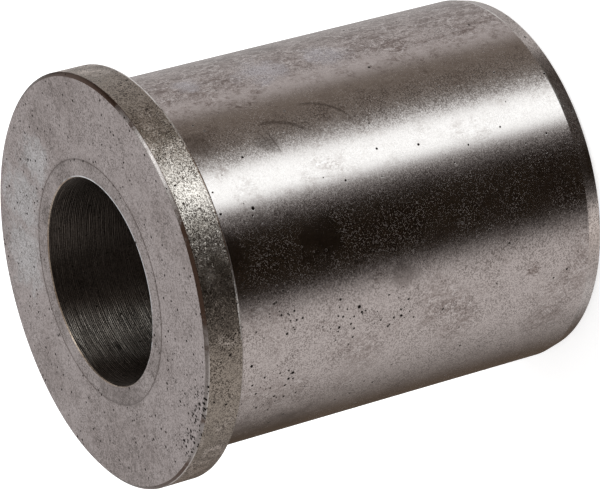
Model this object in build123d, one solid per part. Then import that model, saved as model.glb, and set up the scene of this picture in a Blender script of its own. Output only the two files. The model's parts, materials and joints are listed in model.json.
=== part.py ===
from build123d import *
import os

# Flanged press-fit bushing, turned and ground from one piece of hardened steel.
# All sizes are in millimetres. The origin is on the axis, in the plane where the
# underside of the flange seats on the housing. +Z runs towards the flanged head.

# Main sizes
housing_bore = 50.0             # hole that the body is pressed into
press_interference = 0.06       # body diameter over that hole
bore_diameter = 28.0            # hole that the pin runs in
overall_length = 62.5           # head face to tail face
flange_thickness = 5.4
flange_overhang = 3.0           # flange radius over the radius of the housing hole

# Edges of the flange
head_chamfer_length = 0.4       # along the axis
head_chamfer_depth = 0.5        # towards the axis
back_edge_break = 0.2           # rim to underside

# Lead-in taper that starts the body in its housing
lead_in_length = 2.2            # along the axis
lead_in_depth = 0.5             # towards the axis
tail_edge_break = 0.1           # taper to tail face

# Edges of the bore
mouth_break = 0.15              # at the head face
tail_bore_chamfer = 0.5         # at the tail face, where the pin enters last

# Grinding relief in the corner between the body and the underside of the flange
relief_width = 1.2              # along the body, from the underside
relief_depth = 0.3              # into the body
underside_relief_width = 0.3    # along the underside, from the body
underside_relief_depth = 0.1    # into the flange
relief_corner_radius = 0.3

# Fine ring turned in the head face, which marks off a land round the bore
land_width = 2.5                # bore wall to the middle of the ring
ring_width = 0.2
ring_depth = 0.08

# How far a cutter runs past the metal that it opens into
overrun = 1.0

# Radii and heights that follow from the sizes above
body_radius = (housing_bore + press_interference) / 2
flange_radius = housing_bore / 2 + flange_overhang
bore_radius = bore_diameter / 2
ring_radius = bore_radius + land_width
head_z = flange_thickness
tail_z = flange_thickness - overall_length


def turn(points):
    """Turn a closed outline of (radius, height) points once round the Z axis."""
    with BuildPart() as turned:
        with BuildSketch(Plane.XZ):
            with BuildLine():
                Polyline(*points, close=True)
            make_face()
        revolve(axis=Axis.Z)
    return turned.part


def flange():
    """The head: a thin collar with a chamfer in front and a broken edge behind."""
    return turn([
        (0, 0),
        (flange_radius - back_edge_break, 0),
        (flange_radius, back_edge_break),
        (flange_radius, head_z - head_chamfer_length),
        (flange_radius - head_chamfer_depth, head_z),
        (0, head_z),
    ])


def body():
    """The ground body below the flange, with the lead-in taper at its tail."""
    taper_end_radius = body_radius - lead_in_depth
    return turn([
        (0, 0),
        (body_radius, 0),
        (body_radius, tail_z + lead_in_length),
        (taper_end_radius, tail_z + tail_edge_break),
        (taper_end_radius - tail_edge_break, tail_z),
        (0, tail_z),
    ])


def bore_cutter():
    """The bore, with the broken edge at its mouth and the chamfer at its tail."""
    mouth_radius = bore_radius + mouth_break
    tail_radius = bore_radius + tail_bore_chamfer
    return turn([
        (0, head_z + overrun),
        (mouth_radius, head_z + overrun),
        (mouth_radius, head_z),
        (bore_radius, head_z - mouth_break),
        (bore_radius, tail_z + tail_bore_chamfer),
        (tail_radius, tail_z),
        (tail_radius, tail_z - overrun),
        (0, tail_z - overrun),
    ])


def relief_cutter():
    """The groove that lets a grinding wheel finish the body and the underside.

    It runs out to the body at 45 degrees and to the underside at a shallow
    slope, and its inner corner is round, so that the corner doesn't crack.
    """
    floor_radius = body_radius - relief_depth
    run_out_radius = body_radius + underside_relief_width
    with BuildPart() as relief:
        with BuildSketch(Plane.XZ):
            with BuildLine():
                Polyline(
                    (body_radius, -relief_width),
                    (floor_radius, relief_depth - relief_width),
                    (floor_radius, underside_relief_depth),
                    (run_out_radius, 0),
                    (run_out_radius, -relief_width),
                    close=True,
                )
            make_face()
            inner_corner = vertices().group_by(Axis.X)[0].sort_by(Axis.Z)[-1]
            fillet(inner_corner, relief_corner_radius)
        revolve(axis=Axis.Z)
    return relief.part


def ring_cutter():
    """The V-shaped ring in the head face."""
    return turn([
        (ring_radius, head_z - ring_depth),
        (ring_radius + ring_width / 2, head_z),
        (ring_radius + ring_width / 2, head_z + overrun),
        (ring_radius - ring_width / 2, head_z + overrun),
        (ring_radius - ring_width / 2, head_z),
    ])


def bushing():
    """The whole part: head and body in one, then bored, relieved and marked."""
    blank = flange() + body()
    return blank - bore_cutter() - relief_cutter() - ring_cutter()


os.makedirs("parts", exist_ok=True)
export_step(bushing(), "parts/bushing.step")
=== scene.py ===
"""Looks of a flanged steel bushing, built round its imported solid.

The bushing is one turned and ground piece, so one finely turned mesh stands for
its solid, with a finish of its own on every surface that a tool or a wheel left.
"""

import json
import logging
from collections.abc import Iterable
from dataclasses import dataclass
from enum import Enum
from functools import reduce
from math import cos, hypot, pi, radians, sin, tau
from typing import ClassVar, NamedTuple

import bmesh
import bpy
from mathutils import Matrix, Vector


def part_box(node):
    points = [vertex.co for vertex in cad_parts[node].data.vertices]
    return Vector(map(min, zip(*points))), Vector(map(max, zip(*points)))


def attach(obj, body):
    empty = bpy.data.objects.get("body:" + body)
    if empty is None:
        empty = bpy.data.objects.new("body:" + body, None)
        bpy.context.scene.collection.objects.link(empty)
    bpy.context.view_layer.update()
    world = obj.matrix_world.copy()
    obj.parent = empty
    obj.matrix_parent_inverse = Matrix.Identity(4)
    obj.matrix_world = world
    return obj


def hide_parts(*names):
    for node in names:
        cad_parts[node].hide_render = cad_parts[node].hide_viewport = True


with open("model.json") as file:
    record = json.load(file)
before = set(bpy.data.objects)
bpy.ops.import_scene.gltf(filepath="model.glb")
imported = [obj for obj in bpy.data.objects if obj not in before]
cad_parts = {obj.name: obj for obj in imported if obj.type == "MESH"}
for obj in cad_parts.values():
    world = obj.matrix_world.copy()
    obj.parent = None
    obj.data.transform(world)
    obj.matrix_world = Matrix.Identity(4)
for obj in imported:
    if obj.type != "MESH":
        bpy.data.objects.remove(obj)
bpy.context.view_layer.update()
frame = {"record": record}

log = logging.getLogger("bushing")

MM = 0.001
NODE = "bushing"
BODY = "root"

# Where marks are placed: the head face's height, and the radii of the round sides
HEAD_HEIGHT = 5.4 * MM
BODY_SIDE = 25 * MM
RIM_SIDE = 28 * MM
CHAMFER_SIDE = 27.75 * MM

Colour = tuple[float, float, float]
Socket = bpy.types.NodeSocket


class Region(Enum):
    """The surfaces of the bushing, in the order of its material slots."""

    HEAD = 0
    LAND = 1
    RING = 2
    CHAMFER = 3
    RIM = 4
    UNDERSIDE = 5
    BODY = 6
    LEAD_IN = 7
    TAIL = 8
    BORE = 9
    MOUTH = 10


class Point(NamedTuple):
    """A point of the turned outline."""

    radius: float
    height: float


class Noise(NamedTuple):
    """A cloudy pattern: its clouds' size in metres, its finer layers, their strength, and its swirls."""

    size: float
    detail: float = 2.0
    rough: float = 0.5
    swirl: float = 0.0


# The noise that tears the edges of the ragged patches, stained ones and painted light alike
TORN_EDGE = Noise(2.5 * MM, 5.0, 0.7)


def add_object(name: str, data: bpy.types.ID) -> bpy.types.Object:
    """Put a mesh, a lamp or a camera into the scene.

    Args:
        name: The object's name.
        data: The mesh, lamp or camera.

    Returns:
        The object, at the origin.
    """
    added = bpy.data.objects.new(name, data)
    bpy.context.scene.collection.objects.link(added)
    return added


def add_mesh(name: str, mesh: bmesh.types.BMesh) -> bpy.types.Object:
    """Put a modelled mesh into the scene and free it.

    Args:
        name: The name of the object and of its mesh.
        mesh: The finished mesh.

    Returns:
        The object, at the origin.
    """
    data = bpy.data.meshes.new(name)
    mesh.to_mesh(data)
    mesh.free()
    return add_object(name, data)


class Graph:
    """A node tree with short calls for the nodes that the materials and the world use."""

    def __init__(self, tree: bpy.types.NodeTree) -> None:
        """Keep the tree and empty it.

        Args:
            tree: The node tree of a material or of the world.
        """
        self.tree = tree
        tree.nodes.clear()

    def node(self, kind: str, **settings: object) -> bpy.types.Node:
        """Add a node.

        Args:
            kind: The node's type name.
            **settings: Properties to set on it.

        Returns:
            The new node.
        """
        made = self.tree.nodes.new(kind)
        for name, value in settings.items():
            setattr(made, name, value)
        return made

    def feed(self, socket: Socket, value: object) -> None:
        """Link a socket to another socket, or set its own value.

        Args:
            socket: The socket that takes the value.
            value: A socket, number, vector or colour.
        """
        if isinstance(value, bpy.types.NodeSocket):
            self.tree.links.new(value, socket)
        else:
            socket.default_value = value

    def math(self, operation: str, *values: object, clamp: bool = False) -> Socket:
        """Do one step of arithmetic.

        Args:
            operation: The Math node's operation.
            *values: Numbers or sockets, in the node's order.
            clamp: Whether to keep the result between 0 and 1.

        Returns:
            The result's socket.
        """
        made = self.node("ShaderNodeMath", operation=operation, use_clamp=clamp)
        for socket, value in zip(made.inputs, values):
            self.feed(socket, value)
        return made.outputs[0]

    def times(self, first: object, second: object) -> Socket:
        """Return the product of two numbers."""
        return self.math("MULTIPLY", first, second)

    def less(self, first: object, second: object) -> Socket:
        """Return the first number less the second."""
        return self.math("SUBTRACT", first, second)

    def most(self, first: object, second: object) -> Socket:
        """Return the larger of two numbers."""
        return self.math("MAXIMUM", first, second)

    def gap(self, first: object, second: object) -> Socket:
        """Return how far two numbers are apart."""
        return self.math("ABSOLUTE", self.less(first, second))

    def join(self, masks: Iterable[Socket]) -> Socket | float:
        """Return the largest of some masks, or plainly 0 where there are none."""
        return reduce(self.most, masks, 0.0)

    def span(self, value: Socket, low: float, high: float, start: float = 0.0, end: float = 1.0) -> Socket:
        """Map a span of values smoothly onto another.

        Args:
            value: The socket to map.
            low: The value that becomes start.
            high: The value that becomes end.
            start: The result at low and below.
            end: The result at high and above.

        Returns:
            The mapped socket.
        """
        made = self.node("ShaderNodeMapRange", interpolation_type="SMOOTHSTEP")
        self.feed(made.inputs["Value"], value)
        for name, number in (("From Min", low), ("From Max", high), ("To Min", start), ("To Max", end)):
            made.inputs[name].default_value = number
        return made.outputs["Result"]

    def vector(self, operation: str, *values: object) -> Socket:
        """Do one step of vector arithmetic.

        Args:
            operation: The Vector Math node's operation.
            *values: Vectors or sockets, in the node's order.

        Returns:
            The result's socket, which is a number for a length or a distance.
        """
        made = self.node("ShaderNodeVectorMath", operation=operation)
        for socket, value in zip(made.inputs, values):
            self.feed(socket, value)
        return made.outputs["Value" if operation in ("LENGTH", "DISTANCE") else "Vector"]

    def parts(self, vector: Socket) -> tuple[Socket, Socket, Socket]:
        """Return a vector's three numbers.

        Args:
            vector: The vector to split.

        Returns:
            Its x, y and z.
        """
        split = self.node("ShaderNodeSeparateXYZ")
        self.feed(split.inputs[0], vector)
        return split.outputs["X"], split.outputs["Y"], split.outputs["Z"]

    def turn(self, x: Socket, y: Socket) -> Socket:
        """Return the angle round the upright axis in radians, from the camera's side."""
        return self.math("ARCTAN2", self.times(x, -1.0), self.times(y, -1.0))

    def blend(self, share: object, first: object, second: object) -> Socket:
        """Mix two colours.

        Args:
            share: How much of the second colour shows.
            first: A colour or a socket.
            second: A colour or a socket.

        Returns:
            The mixed colour's socket.
        """
        made = self.node("ShaderNodeMix", data_type="RGBA")
        colours = [socket for socket in made.inputs if socket.type == "RGBA"]
        self.feed(made.inputs[0], share)
        for socket, colour in zip(colours, (first, second)):
            self.feed(socket, (*colour, 1.0) if isinstance(colour, tuple) else colour)
        return next(socket for socket in made.outputs if socket.type == "RGBA")

    def mix(self, share: object, first: object, second: object) -> Socket:
        """Mix two numbers.

        Args:
            share: How much of the second number shows.
            first: A number or a socket.
            second: A number or a socket.

        Returns:
            The mixed number's socket.
        """
        made = self.node("ShaderNodeMix", data_type="FLOAT")
        numbers = [socket for socket in made.inputs if socket.type == "VALUE"]
        for socket, value in zip(numbers, (share, first, second)):
            self.feed(socket, value)
        return next(socket for socket in made.outputs if socket.type == "VALUE")


class SteelGraph(Graph):
    """A material's nodes, with patterns that follow the place on the bushing.

    place is the point on the object in metres, radius its distance from the
    bushing's axis, height its place along the axis, and azimuth its angle
    round the axis in radians, from the side that faces the camera. A pattern
    is read there, unless at gives another place.
    """

    def __init__(self, tree: bpy.types.NodeTree) -> None:
        """Empty the tree and read the point's place.

        Args:
            tree: The material's node tree.
        """
        super().__init__(tree)
        self.place = self.node("ShaderNodeTexCoord").outputs["Object"]
        x, y, self.height = self.parts(self.place)
        self.radius = self.vector("LENGTH", self.vector("MULTIPLY", self.place, (1.0, 1.0, 0.0)))
        self.azimuth = self.turn(x, y)

    def stretch(self, *scale: float) -> Socket:
        """Return the place scaled along the axes, so that a pattern runs out along the small ones."""
        return self.vector("MULTIPLY", self.place, scale)

    def shift(self, *offset: float, at: Socket | None = None) -> Socket:
        """Return a place moved by millimetres, so that two patterns of one kind differ."""
        return self.vector("ADD", self.place if at is None else at, [step * MM for step in offset])

    def noise(self, pattern: Noise, at: Socket | None = None) -> Socket:
        """Make cloudy noise.

        Args:
            pattern: The kind of clouds.
            at: Where they are read.

        Returns:
            A socket between 0 and 1, mostly near a half.
        """
        made = self.node("ShaderNodeTexNoise")
        self.feed(made.inputs["Vector"], self.place if at is None else at)
        made.inputs["Scale"].default_value = 1.0 / pattern.size
        made.inputs["Detail"].default_value = pattern.detail
        made.inputs["Roughness"].default_value = pattern.rough
        made.inputs["Distortion"].default_value = pattern.swirl
        return made.outputs["Fac"]

    def cells(self, size: float, at: Socket | None = None) -> bpy.types.Node:
        """Split the steel into cells.

        Args:
            size: Their mean size, in metres.
            at: Where they are read.

        Returns:
            The node: Color draws lots for each cell, and Distance is how far its middle is.
        """
        made = self.node("ShaderNodeTexVoronoi", feature="F1")
        self.feed(made.inputs["Vector"], self.place if at is None else at)
        made.inputs["Scale"].default_value = 1.0 / size
        return made

    def specks(
        self, spacing: float, size: float, share: Socket | float, at: Socket | None = None
    ) -> Socket:
        """Make small round specks, at most one to a cell.

        Args:
            spacing: The mean size of a cell, in metres.
            size: A speck's radius as a share of the spacing.
            share: The share of the cells that hold a speck.
            at: Where they are read.

        Returns:
            A socket that is 1 in a speck and 0 between them.
        """
        cells = self.cells(spacing, at)
        lot, scale, _ = self.parts(cells.outputs["Color"])
        held = self.math("LESS_THAN", lot, share)
        reach = self.math("MULTIPLY_ADD", scale, size, size * 0.4)
        off_middle = self.math("DIVIDE", cells.outputs["Distance"], reach)
        inside = self.math("SUBTRACT", 1.0, off_middle, clamp=True)
        return self.times(held, self.span(inside, 0.0, 0.5))

    def facets(self, size: float, lean: Socket | float, at: Socket | None = None) -> Socket:
        """Tilt the surface from grain to grain: most grains a little, a few of them far.

        Args:
            size: The mean size of a grain, in metres.
            lean: How far the most tilted grains lean, as a slope.
            at: Where the grains are read.

        Returns:
            The tilted normal's socket.
        """
        cells = self.cells(size, at)
        lot = self.node("ShaderNodeTexWhiteNoise", noise_dimensions="3D")
        self.feed(lot.inputs["Vector"], cells.outputs["Position"])
        far = self.times(self.math("POWER", lot.outputs["Value"], 1.5), lean)
        aside = self.vector("SUBTRACT", cells.outputs["Color"], (0.5, 0.5, 0.5))
        normal = self.node("ShaderNodeNewGeometry").outputs["Normal"]
        return self.vector("NORMALIZE", self.vector("ADD", normal, self.vector("MULTIPLY", aside, far)))

    def veins(self, loops: Noise, width: float, at: Socket | None = None) -> Socket:
        """Make thin wandering lines, like the rims of dried drops.

        Args:
            loops: The noise whose middle level the lines follow.
            width: The lines' width in the noise's own units.
            at: Where the lines are read.

        Returns:
            A socket that is 1 on a line and 0 off it.
        """
        return self.span(self.gap(self.noise(loops, at), 0.5), width, 0.0)

    def bump(self, height: Socket, depth: float, below: Socket) -> Socket:
        """Turn a height pattern into a bent normal.

        Args:
            height: The pattern, from 0 to 1.
            depth: What its full range measures, in metres.
            below: The normal of the grain under this bump.

        Returns:
            The normal's socket.
        """
        made = self.node("ShaderNodeBump")
        for name, value in (("Height", height), ("Strength", 1.0), ("Distance", depth), ("Normal", below)):
            self.feed(made.inputs[name], value)
        return made.outputs["Normal"]

    def gather(self, spots: tuple["Spot", ...]) -> Socket | float:
        """Join marks into one mask.

        Args:
            spots: The marks to join.

        Returns:
            1 in a mark and 0 between them, as a socket, or plainly 0 with no marks.
        """
        if not spots:
            return 0.0
        ragged = self.noise(TORN_EDGE)
        return self.join(spot.mask(self, ragged) for spot in spots)

    def within(self, spots: tuple["Spot", ...], mask: Socket) -> Socket:
        """Return a mask as far as it lies in some marks."""
        return self.times(mask, self.gather(spots))

    def ragged(self, distance: Socket, pattern: Noise, reach: float) -> Socket:
        """Return a distance that noise makes shorter by up to its reach."""
        return self.less(distance, self.times(self.noise(pattern), reach))

    def stripes(
        self, middles: tuple[float, ...], reach: float, core: float, azimuth: Socket
    ) -> Socket | float:
        """Mark stripes that run along the bushing's axis.

        Args:
            middles: The angle of each stripe's middle, in degrees.
            reach: Where a stripe ends, in degrees from its middle.
            core: How far it holds at its full strength.
            azimuth: The angle to compare, in radians.

        Returns:
            1 in a stripe and 0 between them, with soft edges.
        """
        off_middles = (self.gap(azimuth, radians(middle)) for middle in middles)
        return self.join(self.span(off, radians(reach), radians(core)) for off in off_middles)


@dataclass(frozen=True)
class Spot:
    """A round mark with a crisp edge, placed by where it lies on the bushing.

    Azimuth is in degrees: 0 is the side that faces the camera, 90 is its left
    with the bushing upright. Lengths are in metres. The edge fades between two
    shares of the reach, and torn is how far it is ragged.
    """

    azimuth: float
    radius: float
    height: float
    reach: float

    fade: ClassVar[tuple[float, float]] = (1.0, 0.6)
    torn: ClassVar[float] = 0.0

    def mask(self, graph: SteelGraph, ragged: Socket) -> Socket:
        """Return the mark's mask.

        Args:
            graph: The material's nodes.
            ragged: The noise that tears the edge.

        Returns:
            1 inside the mark and 0 outside it.
        """
        turn = radians(self.azimuth)
        middle = (-self.radius * sin(turn), -self.radius * cos(turn), self.height)
        distance = graph.vector("DISTANCE", graph.place, middle)
        if self.torn:
            tear = self.reach * self.torn
            distance = graph.math("ADD", distance, graph.math("MULTIPLY_ADD", ragged, tear, -tear / 2))
        far, near = self.fade
        return graph.span(distance, self.reach * far, self.reach * near)


class RaggedPatch(Spot):
    """A soft patch with a ragged edge."""

    fade = (1.3, 0.4)
    torn = 3.0


def face_marks(kind: type[Spot], *rows: tuple[float, float, float]) -> tuple[Spot, ...]:
    """Place marks on the head face.

    Args:
        kind: The kind of mark.
        *rows: Each mark's azimuth in degrees, and its radius and reach in millimetres.

    Returns:
        The marks.
    """
    return tuple(kind(turn, radius * MM, HEAD_HEIGHT, reach * MM) for turn, radius, reach in rows)


def side_marks(kind: type[Spot], radius: float, *rows: tuple[float, float, float]) -> tuple[Spot, ...]:
    """Place marks on a round side.

    Args:
        kind: The kind of mark.
        radius: The side's radius, in metres.
        *rows: Each mark's azimuth in degrees, and its height and reach in millimetres.

    Returns:
        The marks.
    """
    return tuple(kind(turn, radius, height * MM, reach * MM) for turn, height, reach in rows)


@dataclass(frozen=True)
class Scratch:
    """A fine scratch on a round side. Angles are in degrees and lengths in metres."""

    azimuth: float
    radius: float
    height: float
    length: float
    slope: float
    bend: float = 0.0
    width: float = 0.11 * MM

    def mask(self, graph: SteelGraph) -> Socket:
        """Return the scratch's mask.

        Args:
            graph: The material's nodes.

        Returns:
            1 on the scratch, fading to 0 beside it and at its ends.
        """
        tilt = radians(self.slope)
        round_way = graph.times(graph.less(graph.azimuth, radians(self.azimuth)), self.radius)
        up_way = graph.less(graph.height, self.height)
        along = graph.math("MULTIPLY_ADD", up_way, sin(tilt), graph.times(round_way, cos(tilt)))
        across = graph.math("MULTIPLY_ADD", up_way, cos(tilt), graph.times(round_way, -sin(tilt)))
        bow = graph.times(graph.times(along, along), self.bend)
        line = graph.span(graph.gap(across, bow), self.width, self.width * 0.3)
        ends = graph.span(graph.math("ABSOLUTE", along), self.length * 0.5, self.length * 0.3)
        return graph.times(line, ends)


@dataclass(frozen=True)
class SteelFinish:
    """Bare steel with a fine grain: the base of every finish of the bushing.

    grain is the size of a grain, lean how far the grains tilt, peppered how dark
    the darkest of them are, and dust how dull the dustiest. dirt_and_shade colours
    them, and in some finishes the painted shade too, and hollow colours the pits.
    pit_share is the share of the places where a pit may lie that hold one,
    pit_fields have more of them, crowds are full of them, and pit_marks are single
    ones. stretched draws the gloss out along the axis.
    The noises say where dust, dark grains, stains and gloss are thick. A pair
    named fade runs from where a mark begins to show to where it shows fully. For
    a stripe, that is in degrees from its middle.
    """

    name: str
    colour: Colour
    # second colour: stained steel in most finishes, and painted light on the chamfer, the rim and the bore
    stain_and_painted_light: Colour
    roughness: float
    grain: float = 0.15 * MM
    lean: float = 0.10
    peppered: float = 0.6
    dust: float = 0.15
    # dark colour of real grime in the grains and scratches, and of painted shade in some finishes
    dirt_and_shade: Colour = (0.07, 0.055, 0.045)
    hollow: Colour = (0.018, 0.013, 0.01)
    pit_share: float = 0.10
    pit_spacing: float = 0.6 * MM
    coarse_pit_spacing: float = 2.6 * MM
    crowd_spacing: float = 0.5 * MM
    pit_depth: float = 0.02 * MM
    dusty: Noise = Noise(5 * MM, 3.0)
    dense: Noise = Noise(3 * MM, 3.0)
    broad: Noise = Noise(8 * MM, 4.0, 0.6)
    glossy: Noise = Noise(4 * MM, 3.0)
    pit_fields: tuple[Spot, ...] = ()
    pit_marks: tuple[Spot, ...] = ()
    crowds: tuple[Spot, ...] = ()
    # patches of the second colour: stained steel in most finishes, and painted light on the chamfer and
    # the rim
    stains_and_painted_light: tuple[Spot, ...] = ()
    stretched: float = 0.0

    def build(self) -> bpy.types.Material:
        """Make the material.

        Returns:
            The material, with its nodes in place.
        """
        material = bpy.data.materials.new(self.name)
        material.use_nodes = True
        graph = SteelGraph(material.node_tree)
        shader = graph.node("ShaderNodeBsdfPrincipled")
        pits = self.pits(graph)
        graph.feed(shader.inputs["Base Color"], graph.blend(pits, self.tone(graph), self.hollow))
        graph.feed(shader.inputs["Metallic"], graph.mix(pits, self.bareness(graph), 1.0))
        graph.feed(shader.inputs["Roughness"], graph.mix(pits, self.gloss(graph), 0.9))
        graph.feed(shader.inputs["Normal"], self.relief(graph, pits))
        if self.stretched:
            shader.inputs["Anisotropic"].default_value = self.stretched
            axis = graph.node("ShaderNodeVectorTransform", convert_from="OBJECT", convert_to="WORLD")
            axis.inputs["Vector"].default_value = (0.0, 0.0, 1.0)
            graph.feed(shader.inputs["Tangent"], axis.outputs["Vector"])
        output = graph.node("ShaderNodeOutputMaterial")
        graph.feed(output.inputs["Surface"], shader.outputs["BSDF"])
        return material

    def bareness(self, graph: SteelGraph) -> Socket:
        """Work out how bare the metal is: dust dulls it from grain to grain, in uneven patches.

        Args:
            graph: The material's nodes.

        Returns:
            1 for bare steel, and less where it is dull.
        """
        dull, _, _ = graph.parts(graph.cells(self.grain, graph.shift(2, 7, 4)).outputs["Color"])
        patches = graph.span(graph.noise(self.dusty), 0.35, 0.65, self.dust * 0.6, self.dust * 2.4)
        return graph.less(1.0, graph.times(graph.span(dull, 0.7, 1.0), patches))

    def pits(self, graph: SteelGraph) -> Socket:
        """Strew the small dark pits: fine ones, a few coarse ones, crowds and single marks.

        Args:
            graph: The material's nodes.

        Returns:
            1 in a pit and 0 between them.
        """
        share = graph.mix(graph.gather(self.pit_fields), self.pit_share, 0.75)
        fine = graph.specks(self.pit_spacing, 0.3, share)
        coarse = graph.specks(self.coarse_pit_spacing, 0.06, self.pit_share * 1.8, graph.shift(5, 3, 1))
        strewn = graph.most(graph.times(fine, 0.9), coarse)
        if self.crowds:
            crowd = graph.times(graph.gather(self.crowds), 0.95)
            strewn = graph.most(strewn, graph.specks(self.crowd_spacing, 0.5, crowd))
        return graph.most(strewn, graph.gather(self.pit_marks))

    def cloud(self, graph: SteelGraph) -> Socket:
        """Return where the steel takes its second colour: in its listed patches, stained steel in most
        finishes and painted light in some, and faintly in broad clouds.
        """
        broad = graph.span(graph.noise(self.broad), 0.46, 0.70, 0.0, 0.6)
        return graph.most(broad, graph.gather(self.stains_and_painted_light))

    def grit(self, graph: SteelGraph) -> Socket | float:
        """Return how strong the grain is, as a share of its full strength."""
        return 1.0

    def uneven(self, graph: SteelGraph) -> Socket | float:
        """Return how far the grains lean, as a share of their full lean."""
        return self.grit(graph)

    def grained(self, graph: SteelGraph, colour: Socket) -> Socket:
        """Pepper a colour with darker grains, thickly in some places and thinly in others.

        Args:
            graph: The material's nodes.
            colour: The colour without its grain.

        Returns:
            The colour with its grain.
        """
        lot, _, _ = graph.parts(graph.cells(self.grain).outputs["Color"])
        dense = graph.span(graph.noise(self.dense), 0.35, 0.65, 0.6, 1.0)
        dark = graph.times(graph.span(lot, 0.35, 0.85, 0.0, self.peppered), dense)
        return graph.blend(graph.times(dark, self.grit(graph)), colour, self.dirt_and_shade)

    def tone(self, graph: SteelGraph) -> Socket:
        """Return the colour: the first colour and the second, which is stained steel in most finishes and
        painted light in some, each with its grain.
        """
        return self.grained(graph, graph.blend(self.cloud(graph), self.colour, self.stain_and_painted_light))

    def gloss(self, graph: SteelGraph) -> Socket:
        """Return the roughness, which wanders a little."""
        return graph.span(graph.noise(self.glossy), 0.3, 0.7, self.roughness * 0.85, self.roughness * 1.15)

    def relief(self, graph: SteelGraph, pits: Socket) -> Socket:
        """Tilt the grains and sink the pits.

        Args:
            graph: The material's nodes.
            pits: The pits' mask.

        Returns:
            The bent normal.
        """
        lean = graph.times(self.uneven(graph), self.lean * 1.5)
        facets = graph.facets(self.grain, lean, graph.shift(3, 8, 2))
        return graph.bump(graph.less(1.0, pits), self.pit_depth, facets)


@dataclass(frozen=True)
class GroundFace(SteelFinish):
    """A flat face left by a grinding wheel, mottled by oil, with a soft mark round the ring."""

    ring_radius: float = 16.5 * MM
    ring_fade: tuple[float, float] = (0.5 * MM, 0.1 * MM)
    ring_shade: float = 0.16
    mottle: Noise = Noise(0.9 * MM, 6.0, 0.8, 0.5)
    blue_stains: tuple[Spot, ...] = ()
    blue: Colour = (0.36, 0.35, 0.35)

    def tone(self, graph: SteelGraph) -> Socket:
        """Work out the colour, with bluish and brownish patches.

        Args:
            graph: The material's nodes.

        Returns:
            The colour.
        """
        cloud = self.cloud(graph)
        plain = graph.blend(graph.times(cloud, 0.5), self.colour, self.stain_and_painted_light)
        plain = graph.blend(graph.times(graph.gather(self.blue_stains), 0.9), plain, self.blue)
        mottle = graph.span(graph.noise(self.mottle), 0.44, 0.62)
        mottled = graph.blend(graph.times(mottle, graph.mix(cloud, 0.16, 0.5)), plain, self.dirt_and_shade)
        ring = graph.span(graph.gap(graph.radius, self.ring_radius), *self.ring_fade, 0.0, self.ring_shade)
        return self.grained(graph, graph.blend(ring, mottled, self.dirt_and_shade))


@dataclass(frozen=True)
class LandWithEdgeHighlight(GroundFace):
    """The land round the bore, with a painted highlight along its inner edge in places: a light line that
    stands for the light the rounded edge catches.
    """

    edge_radius: float = 14.15 * MM
    worn_edge_highlight_fade: tuple[float, float] = (0.24 * MM, 0.06 * MM)
    worn_edge_highlight: Colour = (0.74, 0.76, 0.78)
    worn_edge_highlight_places: tuple[Spot, ...] = ()

    def tone(self, graph: SteelGraph) -> Socket:
        """Return the colour, with the painted highlight along the stretches of the edge that catch the
        light.
        """
        # painted highlight along the inner edge
        line = graph.span(graph.less(graph.radius, self.edge_radius), *self.worn_edge_highlight_fade)
        return graph.blend(graph.within(self.worn_edge_highlight_places, line), super().tone(graph), self.worn_edge_highlight)


@dataclass(frozen=True)
class DirtyEdgeWithHighlights(SteelFinish):
    """A dark, grimy edge with a bright band along its middle in places: a painted highlight where the
    light falls, partly wear from handling. In other places it is clean steel across its whole width, and
    painted highlight lines run along its borders.
    """

    middle_radius: float = 27.71 * MM
    rubbed_highlight_fade: tuple[float, float] = (0.28 * MM, 0.21 * MM)
    border_fade: tuple[float, float] = (0.09 * MM, 0.15 * MM)
    wander: Noise = Noise(1.5 * MM, 3.0)
    wander_reach: float = 0.12 * MM
    clean: tuple[Spot, ...] = ()
    # places and colour of the painted highlight lines along the borders
    bright_places: tuple[Spot, ...] = ()
    bright: Colour = (0.66, 0.62, 0.59)

    def off_middle(self, graph: SteelGraph) -> Socket:
        """Return the distance from the middle of the edge, in metres."""
        return graph.gap(graph.radius, self.middle_radius)

    def cloud(self, graph: SteelGraph) -> Socket:
        """Return where the edge takes the bright colour: along its middle a painted highlight, partly wear
        from handling, and clean steel over its whole width in places.
        """
        # painted highlight along the middle of the edge, partly wear from handling
        rubbed_highlight = graph.within(self.stains_and_painted_light, graph.span(self.off_middle(graph), *self.rubbed_highlight_fade))
        return graph.most(rubbed_highlight, graph.times(graph.gather(self.clean), 0.62))

    def tone(self, graph: SteelGraph) -> Socket:
        """Work out the colour, with a painted highlight line along both borders in places.

        Args:
            graph: The material's nodes.

        Returns:
            The colour.
        """
        # painted highlight lines along both borders
        off_middle = graph.ragged(self.off_middle(graph), self.wander, self.wander_reach)
        shown = graph.within(self.bright_places, graph.span(off_middle, *self.border_fade))
        return graph.blend(graph.times(shown, 0.6), super().tone(graph), self.bright)


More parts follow.
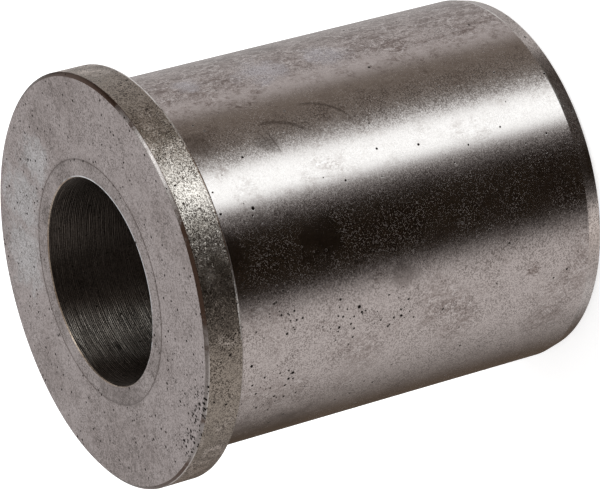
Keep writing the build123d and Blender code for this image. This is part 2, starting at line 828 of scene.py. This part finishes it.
@dataclass(frozen=True)
class SatinRim(SteelFinish):
    """The satin rim of the flange, with a painted shade over one patch, and along parts of its back edge a
    painted dark reflection with a reddish-brown tint, along others a painted highlight.
    """

    edge_height: float = 0.2 * MM
    ragged: Noise = Noise(0.8 * MM, 3.0)
    ragged_reach: float = 0.2 * MM
    # painted shade: a dark reflection painted over patches of the rim
    painted_shades_and_stains: tuple[Spot, ...] = ()
    # dark line along the back edge: a painted dark reflection with a reddish-brown tint
    rust_and_shade_fade: tuple[float, float] = (0.12 * MM, 0.0)
    rust_and_shade_places: tuple[Spot, ...] = ()
    rust_and_shade: Colour = (0.14, 0.075, 0.045)
    # light line along the back edge: a painted highlight
    worn_edge_highlight_fade: tuple[float, float] = (0.26 * MM, 0.14 * MM)
    worn_edge_highlight_places: tuple[Spot, ...] = ()
    worn_edge_highlight: Colour = (0.90, 0.87, 0.85)

    def tone(self, graph: SteelGraph) -> Socket:
        """Work out the colour: a painted shade over one patch, and along parts of the back edge a painted
        dark reflection with a reddish-brown tint, along others a painted highlight.

        Args:
            graph: The material's nodes.

        Returns:
            The colour.
        """
        above = graph.less(graph.height, self.edge_height)
        # painted shade: a dark reflection painted over one patch of the rim
        shade = graph.times(graph.gather(self.painted_shades_and_stains), 0.35)
        shaded = graph.blend(shade, super().tone(graph), self.dirt_and_shade)
        ragged = graph.ragged(above, self.ragged, self.ragged_reach)
        # painted dark reflection along parts of the back edge, with a reddish-brown tint
        rust_and_shade_line = graph.within(self.rust_and_shade_places, graph.span(ragged, *self.rust_and_shade_fade))
        plain = graph.blend(graph.times(rust_and_shade_line, 0.85), shaded, self.rust_and_shade)
        # painted highlight along other parts of the back edge
        worn_edge_highlight = graph.within(self.worn_edge_highlight_places, graph.span(above, *self.worn_edge_highlight_fade))
        return graph.blend(worn_edge_highlight, plain, self.worn_edge_highlight)


@dataclass(frozen=True)
class GroundBody(SteelFinish):
    """The ground outside of the body, smooth enough to mirror its surroundings.

    Oil has dried on its stained patches, in blotches, flecks and rims with clear
    lines between them. Along the wiped stripes the grain is weak, and the gritty
    ones scatter the light beside them. Other patches are darker and free of dust:
    next to the flange they are painted shade, and elsewhere darker patches and
    streaks on the steel.
    """

    oil: Colour = (0.12, 0.075, 0.06)
    clear: Colour = (0.72, 0.67, 0.655)
    blue_stains: tuple[Spot, ...] = ()
    blue: Colour = (0.40, 0.39, 0.40)
    # painted shade next to the flange, and darker patches and streaks on the steel elsewhere
    painted_shades_and_stains: tuple[Spot, ...] = ()
    wiped: tuple[float, ...] = (-44.0, -16.0)
    wiped_fade: tuple[float, float] = (10, 4)
    gritty: tuple[float, ...] = (-31.0,)
    gritty_fade: tuple[float, float] = (9, 3)
    gritty_lean: float = 1.7
    rougher: float = 1.25
    loops: Noise = Noise(2.2 * MM, 3.0, 0.55)
    blotches: Noise = Noise(1.0 * MM, 6.0, 0.75, 1.5)
    flecks: Noise = Noise(0.4 * MM, 3.0, 0.7)
    wheel_marks: Noise = Noise(0.12 * MM)
    wheel_mark_depth: float = 0.004 * MM
    scratches: tuple[Scratch, ...] = ()
    fresh_scratches: tuple[Scratch, ...] = ()

    def grit(self, graph: SteelGraph) -> Socket:
        """Return how strong the grain is: weak along the stripes that were wiped clean."""
        return graph.mix(graph.stripes(self.wiped, *self.wiped_fade, graph.azimuth), 1.0, 0.2)

    def bareness(self, graph: SteelGraph) -> Socket:
        """Return how bare the metal is: fully in the painted shade and the darker patches, which no dust
        lightens.
        """
        return graph.mix(graph.gather(self.painted_shades_and_stains), super().bareness(graph), 1.0)

    def gritted(self, graph: SteelGraph, plain: Socket | float, share: float) -> Socket:
        """Return a value that changes along the gritty stripes."""
        return graph.mix(graph.stripes(self.gritty, *self.gritty_fade, graph.azimuth), plain, share)

    def uneven(self, graph: SteelGraph) -> Socket:
        """Return how far the grains lean: further in the gritty stripes."""
        return self.gritted(graph, self.grit(graph), self.gritty_lean)

    def gloss(self, graph: SteelGraph) -> Socket:
        """Return the roughness, higher where oil has dried and in the gritty stripes."""
        rougher = self.roughness * self.rougher
        return self.gritted(graph, graph.mix(self.cloud(graph), self.roughness, rougher), rougher)

    def dried_oil(self, graph: SteelGraph, drawn: Socket) -> Socket:
        """Work out where dried oil covers a stain.

        Args:
            graph: The material's nodes.
            drawn: The place, drawn out along the axis.

        Returns:
            How dark the oil is, from 0 to 1.
        """
        rims = graph.times(graph.veins(self.loops, 0.03), 0.45)
        blotches = graph.span(graph.noise(self.blotches, drawn), 0.46, 0.58, 0.0, 0.75)
        flecks = graph.span(graph.noise(self.flecks), 0.52, 0.60, 0.0, 0.8)
        return graph.most(rims, graph.most(blotches, flecks))

    def tone(self, graph: SteelGraph) -> Socket:
        """Work out the colour: dried oil, bluish patches, painted shade and darker patches, and scratches.

        Args:
            graph: The material's nodes.

        Returns:
            The colour.
        """
        cloud, drawn = self.cloud(graph), graph.stretch(0.8, 0.8, 0.4)
        bluish = graph.times(graph.gather(self.blue_stains), 0.7)
        plain = graph.blend(graph.times(cloud, 0.2), self.colour, self.stain_and_painted_light)
        plain = graph.blend(bluish, plain, self.blue)
        covered = graph.times(graph.mix(cloud, 0.06, 1.0), graph.less(1.0, bluish))
        dried = graph.blend(graph.times(self.dried_oil(graph, drawn), covered), plain, self.oil)
        # painted shade next to the flange, and darker patches and streaks on the steel elsewhere
        shaded = graph.blend(graph.times(graph.gather(self.painted_shades_and_stains), 0.4), dried, self.dirt_and_shade)
        lines = graph.veins(self.loops, 0.025, graph.shift(1, 6, 9, at=drawn))
        lined = graph.blend(graph.times(graph.times(lines, 0.8), cloud), shaded, self.clear)
        scored = graph.blend(self.scored(graph, self.scratches), self.grained(graph, lined), self.dirt_and_shade)
        return graph.blend(self.scored(graph, self.fresh_scratches), scored, self.clear)

    def scored(self, graph: SteelGraph, scratches: tuple[Scratch, ...]) -> Socket:
        """Return how much some scratches change the colour."""
        return graph.times(graph.join(scratch.mask(graph) for scratch in scratches), 0.5)

    def relief(self, graph: SteelGraph, pits: Socket) -> Socket:
        """Add the wheel's fine lines round the body to the grain.

        Args:
            graph: The material's nodes.
            pits: The pits' mask.

        Returns:
            The bent normal.
        """
        lines = graph.noise(self.wheel_marks, graph.stretch(0.05, 0.05, 1.0))
        return graph.bump(lines, self.wheel_mark_depth, super().relief(graph, pits))


@dataclass(frozen=True)
class BoredWall(SteelFinish):
    """The wall of the bore, with the fine rings that the boring tool left.

    A painted sheen, a bright second colour, lies along a stripe that twists with
    depth, and painted shade lies in the hollows of the rings, strongly within the
    sheen and faintly elsewhere.
    """

    feed_per_turn: float = 0.27 * MM
    ragged: Noise = Noise(1.5 * MM, 3.0)
    wander: Noise = Noise(0.8 * MM, 3.0)
    chatter: Noise = Noise(0.33 * MM, 2.0, 0.6)
    mark_depth: float = 0.13 * MM
    # where the painted sheen lies round the bore, in degrees
    painted_sheen: tuple[float, ...] = (149.0,)
    painted_sheen_fade: tuple[float, float] = (24, 8)
    twist: float = radians(0.8) / MM

    def cloud(self, graph: SteelGraph) -> Socket:
        """Work out where the painted sheen lies.

        Args:
            graph: The material's nodes.

        Returns:
            1 in the stripe and 0 beside it, with a ragged edge.
        """
        drawn = graph.noise(self.ragged, graph.stretch(0.3, 0.3, 1.0))
        azimuth = graph.less(graph.azimuth, graph.times(graph.height, self.twist))
        stripe = graph.stripes(self.painted_sheen, *self.painted_sheen_fade, azimuth)
        return graph.times(stripe, graph.span(drawn, 0.3, 0.6, 1.0, 0.4))

    def marks(self, graph: SteelGraph) -> Socket:
        """Work out the height of the tool's rings, which run round the bore and fade in and out.

        Args:
            graph: The material's nodes.

        Returns:
            The height, mostly near a half.
        """
        wander = graph.noise(self.wander, graph.stretch(0.04, 0.04, 1.0))
        turns = graph.times(graph.height, tau / self.feed_per_turn)
        wave = graph.math("SINE", graph.math("MULTIPLY_ADD", wander, 9.0, turns))
        chatter = graph.noise(self.chatter, graph.stretch(0.07, 0.07, 1.0))
        return graph.math("MULTIPLY_ADD", wave, 0.09, chatter)

    def relief(self, graph: SteelGraph, pits: Socket) -> Socket:
        """Return the normal, waved along the axis by the tool's feed."""
        return graph.bump(self.marks(graph), self.mark_depth, super().relief(graph, pits))

    def tone(self, graph: SteelGraph) -> Socket:
        """Work out the colour: painted shade darkens the hollows of the rings, strongly within the painted
        sheen.

        Args:
            graph: The material's nodes.

        Returns:
            The colour.
        """
        # painted shade in the rings' hollows, strong only within the painted sheen
        shade = graph.span(self.marks(graph), 0.43, 0.57, 0.97, 0.0)
        share = graph.times(shade, graph.mix(self.cloud(graph), 0.06, 1.0))
        return graph.blend(share, super().tone(graph), self.dirt_and_shade)


@dataclass(frozen=True)
class LeadIn(SteelFinish):
    """The lead-in taper, whose upper edge has a ragged light line in places: wear, and a painted highlight
    where it catches the light.
    """

    edge_height: float = -54.9 * MM
    ragged: Noise = Noise(1.2 * MM, 4.0, 0.7)
    ragged_reach: float = 0.9 * MM
    worn_edge_highlight_fade: tuple[float, float] = (-0.15 * MM, -0.3 * MM)
    worn_edge_highlight: Colour = (0.72, 0.70, 0.68)
    worn_edge_highlight_places: tuple[Spot, ...] = ()

    def tone(self, graph: SteelGraph) -> Socket:
        """Work out the colour, light along the edge where it shows wear and a painted highlight.

        Args:
            graph: The material's nodes.

        Returns:
            The colour.
        """
        # wear and a painted highlight along the upper edge
        below = graph.less(self.edge_height, graph.height)
        edge = graph.span(graph.ragged(below, self.ragged, self.ragged_reach), *self.worn_edge_highlight_fade)
        return graph.blend(graph.within(self.worn_edge_highlight_places, edge), super().tone(graph), self.worn_edge_highlight)


FINISHES: dict[Region, SteelFinish] = {
    Region.HEAD: GroundFace(
        "ground_head", (0.43, 0.382, 0.371), (0.31, 0.265, 0.25), 0.38,
        lean=0.05, peppered=0.65, pit_share=0.22, blue=(0.54, 0.53, 0.53),
        stains_and_painted_light=face_marks(
            RaggedPatch, (-80, 24.5, 4.5), (-103, 23, 3.5), (-125, 21.5, 2), (105, 25, 13), (155, 24, 5),
        ),
        blue_stains=face_marks(RaggedPatch, (-118, 20, 3.5), (-140, 21, 5), (-162, 21, 5)),
        pit_fields=face_marks(RaggedPatch, (43, 27.0, 1.6), (50, 26.8, 2), (45, 22, 2.5)),
        crowds=face_marks(RaggedPatch, *((turn, 27.6, 2.2) for turn in (41, 45, 49, 53, 57, 61))),
        pit_marks=face_marks(
            Spot,
            (-122, 21.5, 0.22), (-117.5, 20, 0.2), (-128, 18, 0.22), (-136, 18, 0.18),
            (-141, 25, 0.22), (-40, 21.5, 0.18), (4, 19.5, 0.2), (51, 19, 0.22),
            (50.5, 22.5, 0.25), (26, 23, 0.2), (126, 23, 0.2),
        ),
    ),
    Region.LAND: LandWithEdgeHighlight(
        "ground_land", (0.41, 0.366, 0.354), (0.16, 0.13, 0.12), 0.40, lean=0.05, peppered=0.75,
        stains_and_painted_light=face_marks(RaggedPatch, (98, 15.4, 6.5), (-135, 14.6, 2)),
        # painted highlight along the inner edge of the land
        worn_edge_highlight_places=face_marks(RaggedPatch, (-25, 14.2, 15)),
    ),
    Region.RING: GroundFace("ring_groove", (0.27, 0.235, 0.225), (0.20, 0.17, 0.16), 0.45),
    Region.CHAMFER: DirtyEdgeWithHighlights(
        "turned_chamfer", (0.085, 0.052, 0.038), (0.42, 0.395, 0.385), 0.26,
        lean=0.04, peppered=0.25, dust=0.03, dirt_and_shade=(0.035, 0.025, 0.02),
        # painted highlight band along the chamfer's middle, partly wear from handling
        stains_and_painted_light=side_marks(RaggedPatch, CHAMFER_SIDE, (-27, 5.2, 8), (-165, 5.2, 6)),
        clean=side_marks(RaggedPatch, CHAMFER_SIDE, (36, 5.2, 8), (55, 5.2, 5.5), (130, 5.2, 7)),
        # painted highlight lines along the chamfer's borders
        bright_places=side_marks(RaggedPatch, CHAMFER_SIDE, (36, 5.2, 5), (72, 5.2, 6)),
        crowds=side_marks(RaggedPatch, 27.6 * MM, (42, 5.2, 4), (49, 5.2, 4), (56, 5.2, 4)),
        pit_fields=side_marks(RaggedPatch, 27.5 * MM, (43, 5.2, 2.2), (54, 5.2, 2)),
    ),
    Region.RIM: SatinRim(
        # the first colour is bright where the highlight falls, and the darker second colour covers the
        # rest of the seen side at the listed patches: a painted highlight, whose darker part also carries
        # the rim's olive-brown tint
        "satin_rim", (0.77, 0.685, 0.625), (0.345, 0.297, 0.253), 0.34,
        grain=0.13 * MM, lean=0.34, peppered=1.0, dust=0.06,
        stains_and_painted_light=side_marks(RaggedPatch, RIM_SIDE, (17, 2.7, 9), (40, 2.7, 16), (-56, 2.7, 12), (150, 2.7, 16)),
        # painted shade: a dark reflection painted over one patch
        painted_shades_and_stains=side_marks(RaggedPatch, RIM_SIDE, (17, 2.7, 5)),
        # painted dark reflection along the back edge, with a reddish-brown tint
        rust_and_shade_places=side_marks(RaggedPatch, RIM_SIDE, (-20, 0.2, 6), (-2, 0.2, 5)),
        # painted highlight along the back edge
        worn_edge_highlight_places=side_marks(RaggedPatch, RIM_SIDE, (-62, 0.2, 12), (14, 0.2, 4)),
    ),
    Region.UNDERSIDE: SteelFinish("ground_underside", (0.36, 0.33, 0.315), (0.30, 0.26, 0.24), 0.35),
    Region.BODY: GroundBody(
        "ground_body", (0.545, 0.489, 0.47), (0.43, 0.37, 0.342), 0.18,
        grain=0.13 * MM, lean=0.05, peppered=0.65, dust=0.09, pit_share=0.025, blue=(0.56, 0.54, 0.57),
        dirt_and_shade=(0.075, 0.052, 0.042),
        stains_and_painted_light=side_marks(
            RaggedPatch, BODY_SIDE,
            (-78, -9, 15), (-80, -24, 14), (-80, -38, 15), (-72, -50, 11), (-63, -5, 5),
            (-55, -38, 3.5), (32, -46, 1.2), (150, -20, 6), (-150, -38, 7),
        ),
        blue_stains=side_marks(
            RaggedPatch, BODY_SIDE, (-58, -18.5, 3.5), (-58, -28.5, 3), (-60, -8, 2), (120, -40, 5),
        ),
        # painted shade next to the flange, and darker patches and streaks on the steel elsewhere
        painted_shades_and_stains=side_marks(
            RaggedPatch, BODY_SIDE,
            (-33, -3.5, 2.2), (-27, -12, 1.5), (-76, -17, 2.5), (-76, -23, 2.5), (84, -4, 9),
            (74, -11, 5), (22, -26, 2.2), (5, -14.5, 3), (2, -1.5, 2.5),
        ),
        pit_fields=side_marks(
            RaggedPatch, BODY_SIDE, (24, -8, 4), (50, -6, 4), (32, -16, 3.5), (34, -24, 3), (62, -22, 3),
        ),
        pit_marks=side_marks(
            Spot, BODY_SIDE,
            (-9, -6.5, 0.3), (-25, -8, 0.2), (-17, -26.5, 0.18), (-10, -20.5, 0.18),
            (-15, -32.5, 0.2), (-11, -39.5, 0.16), (28, -19, 0.3), (38, -3, 0.26),
            (45, -9.5, 0.28), (47, -9, 0.26), (33, -16, 0.22), (35, -25.5, 0.22),
        ),
        scratches=(
            Scratch(-32.9, BODY_SIDE, -15.9 * MM, 8 * MM, -65, 0.07 / MM, 0.42 * MM),
            Scratch(-35.6, BODY_SIDE, -22.7 * MM, 8 * MM, -57, 0.075 / MM, 0.3 * MM),
            Scratch(-27.5, BODY_SIDE, -13.2 * MM, 3.6 * MM, -9, 0.0, 0.16 * MM),
        ),
        fresh_scratches=(
            Scratch(-7.4, BODY_SIDE, -8.3 * MM, 2.6 * MM, 42, 0.0, 0.14 * MM),
            Scratch(-6.6, BODY_SIDE, -8.9 * MM, 2.0 * MM, 42, 0.0, 0.12 * MM),
        ),
    ),
    Region.LEAD_IN: LeadIn(
        "lead_in", (0.53, 0.483, 0.465), (0.38, 0.33, 0.31), 0.22, lean=0.06, peppered=0.6, dust=0.04,
        # wear and a painted highlight along the upper edge
        worn_edge_highlight_places=side_marks(RaggedPatch, BODY_SIDE, (-68, -55, 8), (-22, -55, 3)),
    ),
    Region.TAIL: GroundFace("ground_tail", (0.41, 0.375, 0.365), (0.31, 0.27, 0.25), 0.40, peppered=0.75),
    Region.BORE: BoredWall(
        # the bright second colour paints the sheen, and the dark colour on the next line the shade in the
        # rings' hollows
        "bored_wall", (0.15, 0.125, 0.107), (0.62, 0.575, 0.525), 0.42,
        lean=0.14, dust=0.15, dirt_and_shade=(0.02, 0.016, 0.013), stretched=0.85,
    ),
    Region.MOUTH: SteelFinish("bore_edge", (0.42, 0.35, 0.29), (0.30, 0.20, 0.13), 0.25),
}


@dataclass
class Bushing:
    """The bushing: its sizes in metres and radians, its mesh and its finishes."""

    body_radius: float
    bore_radius: float
    flange_radius: float
    head_height: float
    tail_height: float
    head_chamfer_length: float = 0.4 * MM
    head_chamfer_depth: float = 0.5 * MM
    back_edge_break: float = 0.2 * MM
    lead_in_length: float = 2.2 * MM
    lead_in_depth: float = 0.5 * MM
    tail_edge_break: float = 0.1 * MM
    mouth_break: float = 0.15 * MM
    tail_bore_chamfer: float = 0.5 * MM
    relief_width: float = 1.2 * MM
    relief_depth: float = 0.3 * MM
    underside_relief_width: float = 0.3 * MM
    underside_relief_depth: float = 0.1 * MM
    land_width: float = 2.5 * MM
    ring_width: float = 0.2 * MM
    ring_depth: float = 0.08 * MM
    edge_radius: float = 0.04 * MM
    sharp_angle: float = radians(8)
    ring_tolerance: float = 0.004 * MM
    weld_distance: float = 0.001 * MM
    steps: int = 360

    @classmethod
    def from_frame(cls) -> "Bushing":
        """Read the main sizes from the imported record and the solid's box.

        Returns:
            A bushing as large as the solid that it stands for.
        """
        radii = {m["name"]: m["dims"].get("r_mm", 0.0) * MM for m in frame["record"]["mounts"]}
        low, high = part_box(NODE)
        return cls(
            body_radius=radii["body_seat"],
            bore_radius=radii["bore"],
            flange_radius=high.x,
            head_height=high.z,
            tail_height=low.z,
        )

    def outline(self) -> list[tuple[Region, list[Point]]]:
        """Work out the turned outline, once round the section from the bore's mouth.

        Returns:
            The stretches of the outline, each with the surface that it turns. A
            stretch starts where the one before it ends.
        """
        head, tail = self.head_height, self.tail_height
        mouth = self.bore_radius + self.mouth_break
        ring = self.bore_radius + self.land_width
        half_ring = self.ring_width / 2
        relief_floor = self.body_radius - self.relief_depth
        taper_end = self.body_radius - self.lead_in_depth
        corners = [
            (Region.LAND, [(ring - half_ring, head)]),
            (Region.RING, [(ring, head - self.ring_depth), (ring + half_ring, head)]),
            (Region.HEAD, [(self.flange_radius - self.head_chamfer_depth, head)]),
            (Region.CHAMFER, [(self.flange_radius, head - self.head_chamfer_length)]),
            (Region.RIM, [(self.flange_radius, self.back_edge_break)]),
            (Region.UNDERSIDE, [
                (self.flange_radius - self.back_edge_break, 0.0),
                (self.body_radius + self.underside_relief_width, 0.0),
                (relief_floor, self.underside_relief_depth),
                (relief_floor, self.relief_depth - self.relief_width),
                (self.body_radius, -self.relief_width),
            ]),
            (Region.BODY, [(self.body_radius, tail + self.lead_in_length)]),
            (Region.LEAD_IN, [
                (taper_end, tail + self.tail_edge_break),
                (taper_end - self.tail_edge_break, tail),
            ]),
            (Region.TAIL, [(self.bore_radius + self.tail_bore_chamfer, tail)]),
            (Region.MOUTH, [(self.bore_radius, tail + self.tail_bore_chamfer)]),
            (Region.BORE, [(self.bore_radius, head - self.mouth_break)]),
            (Region.MOUTH, [(mouth, head)]),
        ]
        start = Point(mouth, head)
        stretches = []
        for region, ends in corners:
            points = [start, *(Point(*end) for end in ends)]
            stretches.append((region, points))
            start = points[-1]
        return stretches

    def turn(self, mesh: bmesh.types.BMesh, region: Region, points: list[Point]) -> None:
        """Turn one stretch of the outline and give it its material slot.

        Args:
            mesh: The mesh to add to.
            region: The surface that the stretch makes.
            points: The stretch's points, in order.
        """
        before = set(mesh.faces)
        corners = [mesh.verts.new((p.radius, 0.0, p.height)) for p in points]
        lines = [mesh.edges.new(pair) for pair in zip(corners, corners[1:])]
        bmesh.ops.spin(
            mesh,
            geom=corners + lines,
            cent=(0.0, 0.0, 0.0),
            axis=(0.0, 0.0, 1.0),
            angle=tau,
            steps=self.steps,
            use_merge=True,
        )
        for face in set(mesh.faces) - before:
            face.material_index = region.value

    def is_ring(self, edge: bmesh.types.BMEdge) -> bool:
        """Tell an edge that runs round the axis from one that runs along the outline.

        Args:
            edge: The edge to look at.

        Returns:
            Whether both its ends lie at one radius and one height.
        """
        first, second = (Point(hypot(vert.co.x, vert.co.y), vert.co.z) for vert in edge.verts)
        apart = (first.radius - second.radius, first.height - second.height)
        return all(abs(gap) < self.ring_tolerance for gap in apart)

    def break_edges(self, mesh: bmesh.types.BMesh) -> None:
        """Round every sharp ring by the small radius that deburring leaves.

        Args:
            mesh: The turned mesh.
        """
        sharp = [
            edge for edge in mesh.edges
            if len(edge.link_faces) == 2
            and edge.calc_face_angle() > self.sharp_angle
            and self.is_ring(edge)
        ]
        bmesh.ops.bevel(
            mesh,
            geom=sharp,
            offset=self.edge_radius,
            offset_type="OFFSET",
            segments=2,
            profile=0.5,
            affect="EDGES",
            material=-1,
            clamp_overlap=True,
        )

    def build(self) -> bpy.types.Object:
        """Make the bushing's mesh and dress it.

        Returns:
            The object, at the origin, with one material slot for each surface.
        """
        mesh = bmesh.new()
        for region, points in self.outline():
            self.turn(mesh, region, points)
        bmesh.ops.remove_doubles(mesh, verts=mesh.verts, dist=self.weld_distance)
        self.break_edges(mesh)
        bmesh.ops.recalc_face_normals(mesh, faces=mesh.faces)
        for face in mesh.faces:
            face.smooth = True
        piece = add_mesh("bushing_steel", mesh)
        for region in Region:
            piece.data.materials.append(FINISHES[region].build())
        normals = piece.modifiers.new("flat_faces_lead", "WEIGHTED_NORMAL")
        normals.mode = "FACE_AREA"
        normals.weight = 100
        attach(piece, BODY)
        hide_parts(NODE)
        return piece


@dataclass(frozen=True)
class Panel:
    """A soft light or a dark flag on the wall of the studio, placed by direction.

    Angles are in degrees. Azimuth 0 is on the camera's side of the bushing and
    90 is to its left, seen from the camera with the bushing upright. The two
    feathers are the fades before and after the half width.
    """

    name: str
    azimuth: float
    half_width: float
    feathers: tuple[float, float]
    elevation: float
    half_height: float
    height_feather: float
    light: Colour

    def cover(self, graph: Graph, azimuth: Socket, elevation: Socket, under: Socket | Colour) -> Socket:
        """Lay the panel over what is already on the wall.

        Args:
            graph: The world's nodes.
            azimuth: The direction's azimuth, in radians.
            elevation: The direction's elevation, in radians.
            under: The light under the panel.

        Returns:
            The light with the panel in place.
        """
        turn = graph.math("WRAP", graph.less(azimuth, radians(self.azimuth)), pi, -pi)
        near, far = (self.half_width + feather for feather in self.feathers)
        rising = graph.span(turn, radians(-near), radians(-self.half_width))
        falling = graph.span(turn, radians(far), radians(self.half_width))
        rise = graph.gap(elevation, radians(self.elevation))
        top = self.half_height + self.height_feather
        height = graph.span(rise, radians(top), radians(self.half_height))
        return graph.blend(graph.times(graph.times(rising, falling), height), under, self.light)


@dataclass(frozen=True)
class Studio:
    """Floor, surroundings and lamp. Lengths are in metres and the lamp's power in watts."""

    floor_height: float
    floor_size: float = 3.0
    floor_colour: Colour = (0.9, 0.9, 0.9)
    floor_lift: float = 0.5
    lamp_place: tuple[float, float, float] = (0.35, 0.15, 0.9)
    lamp_width: float = 0.6
    lamp_power: float = 5.0
    day_level: float = 0.75
    wall: Colour = (0.60, 0.58, 0.575)
    panels: tuple[Panel, ...] = (
        Panel("upper wall", 0, 181, (1, 1), 90, 66, 20, (0.50, 0.475, 0.455)),
        Panel("upper corner", -130, 18, (12, 14), 20, 20, 12, (0.10, 0.078, 0.062)),
        Panel("left wall", -115, 12, (24, 16), -30, 14, 14, (0.69, 0.675, 0.675)),
        Panel("low left wall", -130, 32, (20, 16), -54, 9, 8, (0.76, 0.74, 0.73)),
        Panel("white bench", 85, 35, (60, 40), -22, 60, 25, (0.78, 0.765, 0.76)),
        Panel("dark shelf", 170, 12, (76, 14), -28, 11, 8, (0.11, 0.082, 0.06)),
        Panel("dark room", 12.5, 17.5, (26, 25), -25, 60, 20, (0.023, 0.016, 0.010)),
        Panel("dark corner", -71, 12, (14, 16), -25, 30, 25, (0.24, 0.21, 0.18)),
        Panel("tall strip light", -33, 5, (21, 10), -23, 17, 10, (2.0, 2.2, 2.25)),
        Panel("low dark corner", -49, 31, (16, 12), -60, 10, 7, (0.07, 0.055, 0.045)),
        Panel("low bench light", 62, 10, (14, 20), -52, 6, 8, (1.05, 1.0, 0.96)),
        Panel("side window", -54, 9, (14, 12), 36, 8, 8, (2.4, 2.45, 2.4)),
        Panel("back light", 180, 44, (20, 20), 38, 22, 14, (0.81, 0.795, 0.80)),
        Panel("high soft light", -84, 9, (10, 9), 59, 5, 7, (3.2, 3.25, 3.25)),
    )

    def build_world(self) -> None:
        """Make the surroundings: white to look at, panelled where steel mirrors them."""
        world = bpy.data.worlds.new("studio")
        bpy.context.scene.world = world
        world.use_nodes = True
        graph = Graph(world.node_tree)
        x, y, z = graph.parts(graph.node("ShaderNodeTexCoord").outputs["Generated"])
        azimuth, elevation = graph.turn(x, y), graph.math("ARCSINE", z)
        light: Socket | Colour = self.wall
        for panel in self.panels:
            light = panel.cover(graph, azimuth, elevation, light)
        rays = graph.node("ShaderNodeLightPath").outputs
        mirrored = graph.math("ADD", rays["Is Glossy Ray"], rays["Is Transmission Ray"])
        seen = graph.math("ADD", rays["Is Camera Ray"], mirrored)
        background = graph.node("ShaderNodeBackground")
        graph.feed(background.inputs["Color"], graph.blend(mirrored, (1.0, 1.0, 1.0), light))
        graph.feed(background.inputs["Strength"], graph.mix(seen, self.day_level, 1.0))
        output = graph.node("ShaderNodeOutputWorld")
        graph.feed(output.inputs["Surface"], background.outputs[0])

    def build_floor(self) -> bpy.types.Object:
        """Make the pale floor, which keeps the bushing's shadow.

        Returns:
            The floor.
        """
        mesh = bmesh.new()
        bmesh.ops.create_grid(mesh, x_segments=1, y_segments=1, size=self.floor_size)
        bmesh.ops.translate(mesh, verts=mesh.verts, vec=(0.0, 0.0, self.floor_height))
        floor = add_mesh("floor", mesh)
        floor.data.materials.append(self.floor_finish())
        floor.visible_glossy = False
        return floor

    def floor_finish(self) -> bpy.types.Material:
        """Make the floor's material: matt white, lifted to full white where nothing shades it.

        Returns:
            The material.
        """
        material = bpy.data.materials.new("white_floor")
        material.use_nodes = True
        graph = Graph(material.node_tree)
        matt = graph.node("ShaderNodeBsdfDiffuse")
        matt.inputs["Color"].default_value = (*self.floor_colour, 1.0)
        glow = graph.node("ShaderNodeEmission")
        rays = graph.node("ShaderNodeLightPath")
        graph.feed(glow.inputs["Strength"], graph.times(rays.outputs["Is Camera Ray"], self.floor_lift))
        both = graph.node("ShaderNodeAddShader")
        graph.feed(both.inputs[0], matt.outputs[0])
        graph.feed(both.inputs[1], glow.outputs[0])
        output = graph.node("ShaderNodeOutputMaterial")
        graph.feed(output.inputs["Surface"], both.outputs[0])
        return material

    def build_lamp(self) -> bpy.types.Object:
        """Make the soft lamp overhead, which casts the bushing's shadow on the floor.

        Returns:
            The lamp.
        """
        light = bpy.data.lights.new("overhead", "AREA")
        light.shape = "DISK"
        light.size = self.lamp_width
        light.energy = self.lamp_power
        lamp = add_object("overhead", light)
        lamp.location = self.lamp_place
        lamp.rotation_euler = lamp.location.to_track_quat("Z", "Y").to_euler()
        lamp.visible_glossy = False
        return lamp


@dataclass(frozen=True)
class PhotoCamera:
    """The camera at the photograph's place, turned on its side as the photograph shows the bushing.

    Lengths are in metres and angles in degrees, but the lens is in millimetres.
    """

    target: tuple[float, float, float] = (-2.05 * MM, 0.0, -24.69 * MM)
    distance: float = 570.4 * MM
    elevation: float = 27.82
    roll: float = -105.08
    lens: float = 256.0
    nearest: float = 0.01
    farthest: float = 20.0

    def build(self) -> bpy.types.Object:
        """Make the camera and look through it.

        Returns:
            The camera.
        """
        rise, roll = radians(self.elevation), radians(self.roll)
        back = Vector((0.0, -cos(rise), sin(rise)))
        level = Vector((1.0, 0.0, 0.0))
        up = back.cross(level)
        right = level * cos(roll) + up * sin(roll)
        top = up * cos(roll) - level * sin(roll)
        optics = bpy.data.cameras.new("photo_camera")
        optics.lens = self.lens
        optics.sensor_fit = "HORIZONTAL"
        optics.clip_start = self.nearest
        optics.clip_end = self.farthest
        camera = add_object("photo_camera", optics)
        turn = Matrix((right, top, back)).transposed()
        place = Vector(self.target) + back * self.distance
        camera.matrix_world = Matrix.Translation(place) @ turn.to_4x4()
        bpy.context.scene.camera = camera
        return camera


def main() -> None:
    """Build the bushing, then the studio round it, then the camera."""
    logging.basicConfig(level=logging.INFO, format="%(message)s")
    bpy.context.scene.view_settings.view_transform = "Standard"
    bushing = Bushing.from_frame()
    piece = bushing.build()
    log.info("%s: %d faces", piece.name, len(piece.data.polygons))
    studio = Studio(floor_height=bushing.tail_height)
    studio.build_world()
    log.info("floor: %s", studio.build_floor().name)
    log.info("lamp: %s", studio.build_lamp().name)
    log.info("camera: %s", PhotoCamera().build().name)


if __name__ == "__main__":
    main()
